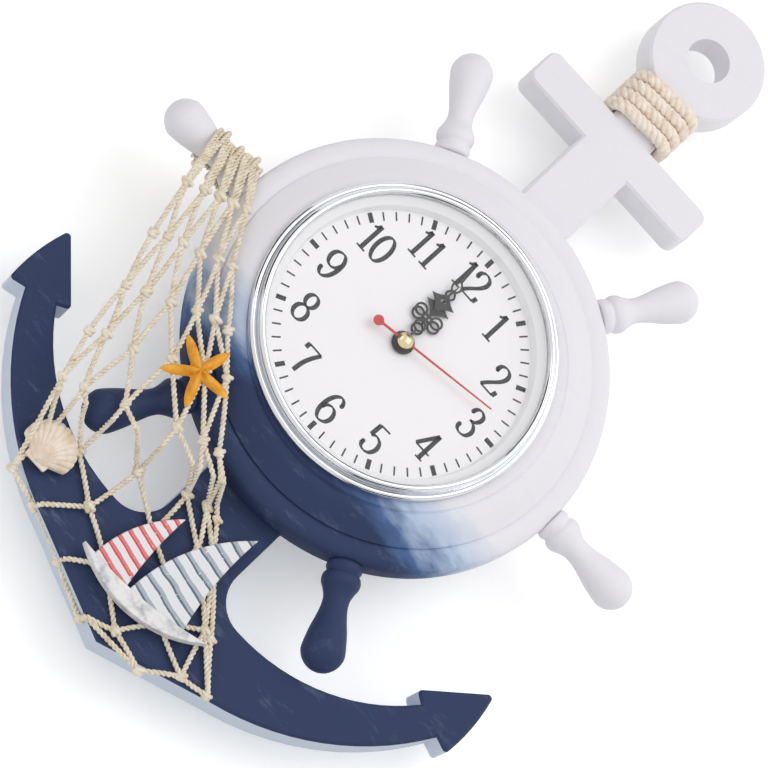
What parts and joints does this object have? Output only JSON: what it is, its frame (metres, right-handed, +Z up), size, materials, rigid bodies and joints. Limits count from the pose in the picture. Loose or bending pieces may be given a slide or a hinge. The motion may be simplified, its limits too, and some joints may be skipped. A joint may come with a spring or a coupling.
{
  "type": "wall clock",
  "caption": "Nautical wall clock: a painted anchor board with a ship's wheel, a chrome-rimmed quartz insert, a twine net, a starfish, a shell and a boat.",
  "frame": {"origin": "on the wheel's axis in the wall plane, the plane of the board's back", "axes": "X to the right and Z up as the clock hangs, the dial looks towards -Y and +Y goes into the wall"},
  "size_m": [0.2296, 0.0393, 0.3405],
  "materials": {
    "board_paint": "matt brushed paint on board, white fading to navy",
    "white_paint": "white paint on turned wood",
    "navy_paint": "navy paint on turned wood",
    "rope": "natural cotton twine",
    "starfish_paint": "painted resin, grainy",
    "shell_paint": "painted resin",
    "hull_wood": "stained wood",
    "sail_paint": "painted stripes on thin wood",
    "cup_steel": "pressed sheet",
    "bezel_chrome": "bright plate",
    "lens_glass": "clear",
    "white_plastic": "moulded",
    "dial_paper": "printed card, matt",
    "black_hand": "black paint on stamped sheet",
    "red_hand": "red paint on stamped sheet",
    "brass": "polished",
    "black_plastic": "moulded",
    "cell_steel": "plain sleeve",
    "contact_steel": "nickel plated",
    "board_laminate": "laminate",
    "coil_copper": "enamelled wire",
    "magnet_steel": "sintered",
    "gear_plastic": "acetal"
  },
  "bodies": {
    "clock": {"anchor_board": "board_paint", "neck_rope": "rope", "wheel_rim": "board_paint", "handle_at_1": "white_paint", "handle_at_3": "white_paint", "handle_at_5": "navy_paint", "handle_at_7": "navy_paint", "handle_at_9": "white_paint", "handle_at_11": "white_paint", "fishing_net": "rope", "starfish": "starfish_paint", "scallop_shell": "shell_paint", "boat_hull": "hull_wood", "fore_sail": "sail_paint", "main_sail": "sail_paint", "insert_cup": "cup_steel", "bezel": "bezel_chrome", "lens": "lens_glass", "reflector_ring": "white_plastic", "dial": "dial_paper", "movement_case": "black_plastic", "movement_cover": "black_plastic", "train_plate": "white_plastic", "battery": "cell_steel", "contact_positive": "contact_steel", "contact_negative": "contact_steel", "circuit_board": "board_laminate", "quartz_crystal": "contact_steel", "coil": "coil_copper", "stator": "contact_steel"},
    "rotor": {"rotor_pinion": "gear_plastic", "rotor_magnet": "magnet_steel"},
    "intermediate": {"intermediate_wheel": "gear_plastic"},
    "seconds": {"seconds_wheel": "gear_plastic", "second_hand": "red_hand", "hand_cap": "brass"},
    "third": {"third_wheel": "gear_plastic"},
    "centre": {"centre_wheel": "gear_plastic"},
    "minutes": {"cannon_pinion": "gear_plastic", "minute_hand": "black_hand"},
    "motion": {"motion_wheel": "gear_plastic"},
    "hours": {"hour_wheel": "gear_plastic", "hour_hand": "black_hand"},
    "knob": {"setting_knob": "black_plastic"}
  },
  "joints": [
    {"name": "rotor_turn", "type": "hinge", "parent": "clock", "child": "rotor", "pos_m": [0.00839, -0.0135, 0.01306], "axis": [0, 1, 0], "continuous": true},
    {"name": "intermediate_turn", "type": "hinge", "parent": "clock", "child": "intermediate", "pos_m": [0.00419, -0.0154, 0.00579], "axis": [0, 1, 0], "continuous": true},
    {"name": "seconds_turn", "type": "hinge", "parent": "clock", "child": "seconds", "pos_m": [-0.0027, -0.017, 0], "axis": [0, 1, 0], "continuous": true},
    {"name": "third_turn", "type": "hinge", "parent": "clock", "child": "third", "pos_m": [-0.01153, -0.0189, 0.0051], "axis": [0, 1, 0], "continuous": true},
    {"name": "centre_turn", "type": "hinge", "parent": "clock", "child": "centre", "pos_m": [-0.0027, -0.0204, 0], "axis": [0, 1, 0], "continuous": true},
    {"name": "minutes_turn", "type": "hinge", "parent": "clock", "child": "minutes", "pos_m": [-0.0027, -0.022, 0], "axis": [0, 1, 0], "continuous": true},
    {"name": "motion_turn", "type": "hinge", "parent": "clock", "child": "motion", "pos_m": [0.0053, -0.022, 0], "axis": [0, 1, 0], "continuous": true},
    {"name": "hours_turn", "type": "hinge", "parent": "clock", "child": "hours", "pos_m": [-0.0027, -0.0233, 0], "axis": [0, 1, 0], "continuous": true},
    {"name": "setting_knob_turn", "type": "hinge", "parent": "clock", "child": "knob", "pos_m": [0.01223, -0.0063, -0.004], "axis": [0, 1, 0], "continuous": true}
  ],
  "couplings": [
    {"joint": "intermediate_turn", "follows": "rotor_turn", "ratio": -0.16667},
    {"joint": "seconds_turn", "follows": "rotor_turn", "ratio": 0.033333},
    {"joint": "third_turn", "follows": "rotor_turn", "ratio": -0.0044444},
    {"joint": "centre_turn", "follows": "rotor_turn", "ratio": 0.00055556},
    {"joint": "motion_turn", "follows": "minutes_turn", "ratio": -0.33333},
    {"joint": "hours_turn", "follows": "minutes_turn", "ratio": 0.083333},
    {"joint": "setting_knob_turn", "follows": "minutes_turn", "ratio": 1}
  ]
}
